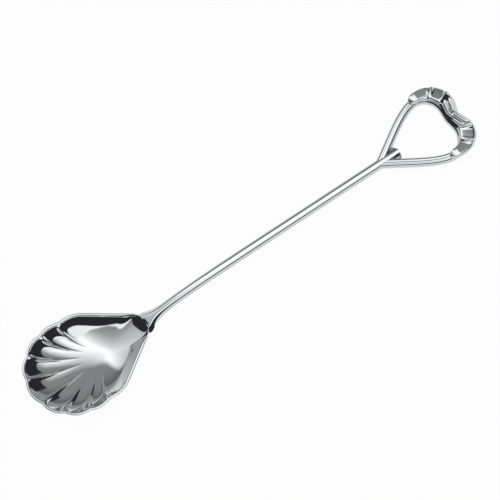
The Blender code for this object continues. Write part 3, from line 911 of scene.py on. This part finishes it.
def add_floor(scene):
    """A wide white sheet under the spoon."""
    bm = bmesh.new()
    bmesh.ops.create_grid(bm, x_segments=1, y_segments=1, size=FLOOR_REACH)
    mesh = bpy.data.meshes.new("floor")
    bm.to_mesh(mesh)
    bm.free()
    # Uncoated paper sheet: an even white without a sheen, with a faint soft shadow.
    material = bpy.data.materials.new("white paper")
    material.use_nodes = True
    tree = material.node_tree
    shader = tree.nodes["Principled BSDF"]
    shader.inputs["Base Color"].default_value = (*scene.spoon_studio.floor, 1)
    shader.inputs["Roughness"].default_value = 1
    shader.inputs["Specular IOR Level"].default_value = 0
    path = add_node(tree, "LightPath").outputs
    seen = add_node(tree, "Math", [path["Is Camera Ray"], path["Is Glossy Ray"]], operation="ADD")
    seen = add_node(tree, "Math", [seen.outputs[0], path["Is Transmission Ray"]], operation="ADD")
    seen = add_node(tree, "Math", [seen.outputs[0], WHITE_SHARE], operation="MULTIPLY", use_clamp=True)
    white = add_node(tree, "Emission", {"Strength": 1.0})
    mixed = add_node(tree, "MixShader", [seen.outputs[0], shader.outputs[0], white.outputs[0]])
    tree.links.new(mixed.outputs[0], tree.nodes["Material Output"].inputs["Surface"])
    mesh.materials.append(material)
    floor = bpy.data.objects.new("floor", mesh)
    scene.collection.objects.link(floor)


AHEAD, LEFT, UP = (1, 0, 0), (0, 1, 0), (0, 0, 1)
# How fast the roof's glow gathers towards its lamp, and how much brighter the far roof gets to the left.
ROOF_GATHER = 2.9
FAR_TILT = 1.3
# Where the unlit side starts, how soft its edge gets from left to right, and the heights it fades over.
SIDE_AIM = (0.8, 0.35, -0.49)
SIDE_EDGE = -0.025
SIDE_FADE = (0.5, 0)
SIDE_SOFTNESS = (0.05, 0.3)
SIDE_HEIGHTS = (0.3, 0.75)
HORIZON_FADE = (-0.5, 0.5)
# A patch of the tent has limits. Each is an aim, and the shares of a view along it at which the patch starts
# and is full.
LOW = (UP, 0.3, 0.2)
FOOT = ((0, 0.05, 1), 0.15, 0.19)
PANEL = [((0.3, -0.95, 0), 0.4, 0.46)]
LOW_AHEAD = [LOW, (AHEAD, -0.25, -0.05)]
LOW_RIGHT = [LOW, (LEFT, 0.2, -0.2)]
GAP = [(UP, 0.62, 0.58), ((-0.3, 0, 1), 0.7, 0.66), FOOT, ((-0.13, -0.99, 0), -0.5, -0.4)]
WALL = [(AHEAD, -0.575, -0.605), FOOT]


def patch_share(tree, view, limits):
    """1 inside a patch of the tent, 0 outside it, and between them along its soft edges."""
    inside = 1.0
    for aim, start, full in limits:
        along = add_node(tree, "VectorMath", [view, aim], operation="DOT_PRODUCT").outputs["Value"]
        edge = add_node(tree, "MapRange", [along, start, full], interpolation_type="SMOOTHSTEP")
        both = [inside, edge.outputs["Result"]]
        inside = add_node(tree, "Math", both, operation="MULTIPLY").outputs["Value"]
    return inside


def light_tent(studio):
    """White tent by direction: a roof that glows towards its lamp, a panel, an unlit side and a dark gap."""
    world = bpy.data.worlds.new("light tent")
    world.use_nodes = True
    tree = world.node_tree
    view = add_node(tree, "TexCoord").outputs["Generated"]
    ahead, left, up = add_node(tree, "SeparateXYZ", [view]).outputs
    tilt = add_node(tree, "Math", [left, up], operation="MULTIPLY").outputs["Value"]
    far = [tilt, studio.roof_far * FAR_TILT, studio.roof_far]
    far = add_node(tree, "Math", far, operation="MULTIPLY_ADD").outputs["Value"]
    near = add_node(tree, "Math", [exp(ROOF_GATHER), ahead], operation="POWER").outputs["Value"]
    roof = add_node(tree, "Math", [near, studio.roof_glow, far], operation="MULTIPLY_ADD").outputs["Value"]
    light = add_node(tree, "Math", [roof, studio.roof_most], operation="MINIMUM").outputs["Value"]
    fades = (
        (left, SIDE_FADE, SIDE_SOFTNESS),
        (up, SIDE_HEIGHTS, (studio.side_foot, studio.side)),
        (left, HORIZON_FADE, (studio.horizon, studio.far_horizon)),
    )
    faded = []
    for along, limits, ends in fades:
        fade = add_node(tree, "MapRange", [along, *limits, *ends], interpolation_type="SMOOTHSTEP")
        faded.append(fade.outputs["Result"])
    softness, side, horizon = faded
    start = add_node(tree, "Math", [SIDE_EDGE, softness], operation="SUBTRACT").outputs["Value"]
    full = add_node(tree, "Math", [SIDE_EDGE, softness], operation="ADD").outputs["Value"]
    panel = [studio.panel] * 3 + [1]
    gap = [studio.gap * tint for tint in studio.gap_tint] + [1]
    patches = (
        (PANEL, panel),
        ([(SIDE_AIM, start, full)], side),
        (LOW_AHEAD, horizon),
        (LOW_RIGHT, horizon),
        (GAP, gap),
        (WALL, gap),
    )
    for limits, level in patches:
        mixed = {FACTOR: patch_share(tree, view, limits), FIRST: light, SECOND: level}
        light = add_node(tree, "Mix", mixed, data_type="RGBA").outputs[RESULT]
    tree.links.new(light, tree.nodes["Background"].inputs["Color"])
    return world


# Where the camera stands, from the point that it looks at, and its lens.
CAMERA_TARGET = Vector((43.07, -0.29, 5.0)) * MM
CAMERA_DISTANCE = 650 * MM
CAMERA_AZIMUTH = radians(-109.14)
CAMERA_ELEVATION = radians(70.11)
CAMERA_ROLL = radians(-16.21)
CAMERA_REACH = 10
FOCAL_LENGTH_PIXELS = 2621
IMAGE_PIXELS = 500
SENSOR_MILLIMETRES = 36


def add_camera(scene):
    """A camera at its place, rolled about its view."""
    camera = bpy.data.cameras.new("camera")
    camera.sensor_width = SENSOR_MILLIMETRES
    camera.lens = FOCAL_LENGTH_PIXELS * SENSOR_MILLIMETRES / IMAGE_PIXELS
    camera.clip_end = CAMERA_REACH
    eye = bpy.data.objects.new("camera", camera)
    scene.collection.objects.link(eye)
    flat = cos(CAMERA_ELEVATION)
    out = Vector((flat * cos(CAMERA_AZIMUTH), flat * sin(CAMERA_AZIMUTH), sin(CAMERA_ELEVATION)))
    right = (-out).cross(Vector(UP)).normalized()
    top = right.cross(-out)
    roll = Matrix.Rotation(CAMERA_ROLL, 3, out)
    matrix = Matrix((roll @ right, roll @ top, out)).transposed().to_4x4()
    matrix.translation = CAMERA_TARGET + out * CAMERA_DISTANCE
    eye.matrix_world = matrix
    return eye


class SPOON_OT_stage(bpy.types.Operator):
    """Adds the floor, the surroundings that the polish mirrors, and the camera"""

    bl_idname = "spoon.stage"
    bl_label = "Studio"

    def execute(self, context):
        scene = context.scene
        scene.view_settings.view_transform = "Standard"
        add_floor(scene)
        scene.world = light_tent(scene.spoon_studio)
        scene.camera = add_camera(scene)
        return {"FINISHED"}


SIZES = {
    "spoon_bowl": ShellBowl,
    "spoon_stem": RodStem,
    "spoon_heart": HeartWire,
    "spoon_bow": RibbonBow,
    "spoon_knot": BowKnot,
    "spoon_solder": PointSolder,
    "spoon_studio": Studio,
    "spoon_finish": Finish,
}
OPERATORS = {
    "spoon_bowl": SPOON_OT_bowl,
    "spoon_stem": SPOON_OT_stem,
    "spoon_heart": SPOON_OT_heart_wire,
    "spoon_bow": SPOON_OT_ribbon,
    "spoon_knot": SPOON_OT_knot,
    "spoon_solder": SPOON_OT_solder,
    "spoon_studio": SPOON_OT_stage,
}


class SPOON_PT_pieces(bpy.types.Panel):
    """Lists the spoon's pieces with their sizes, and its finish"""

    bl_idname = "SPOON_PT_pieces"
    bl_label = "Coffee Spoon"
    bl_space_type = "VIEW_3D"
    bl_region_type = "UI"
    bl_category = "Spoon"

    def draw(self, context):
        for group, sizes in SIZES.items():
            box = self.layout.box()
            if group in OPERATORS:
                box.operator(OPERATORS[group].bl_idname)
            else:
                box.label(text="Finish")
            for name in sizes.__annotations__:
                box.prop(getattr(context.scene, group), name)


CLASSES = (*SIZES.values(), *OPERATORS.values(), SPOON_PT_pieces)


def register():
    for cls in CLASSES:
        bpy.utils.register_class(cls)
    for name, sizes in SIZES.items():
        setattr(bpy.types.Scene, name, PointerProperty(type=sizes))


def unregister():
    for name in SIZES:
        delattr(bpy.types.Scene, name)
    for cls in reversed(CLASSES):
        bpy.utils.unregister_class(cls)


def main():
    register()
    bpy.ops.spoon.bowl()
    bpy.ops.spoon.stem()
    bpy.ops.spoon.heart_wire()
    bpy.ops.spoon.ribbon()
    bpy.ops.spoon.knot()
    bpy.ops.spoon.solder()
    bpy.ops.spoon.stage()


if __name__ == "__main__":
    main()
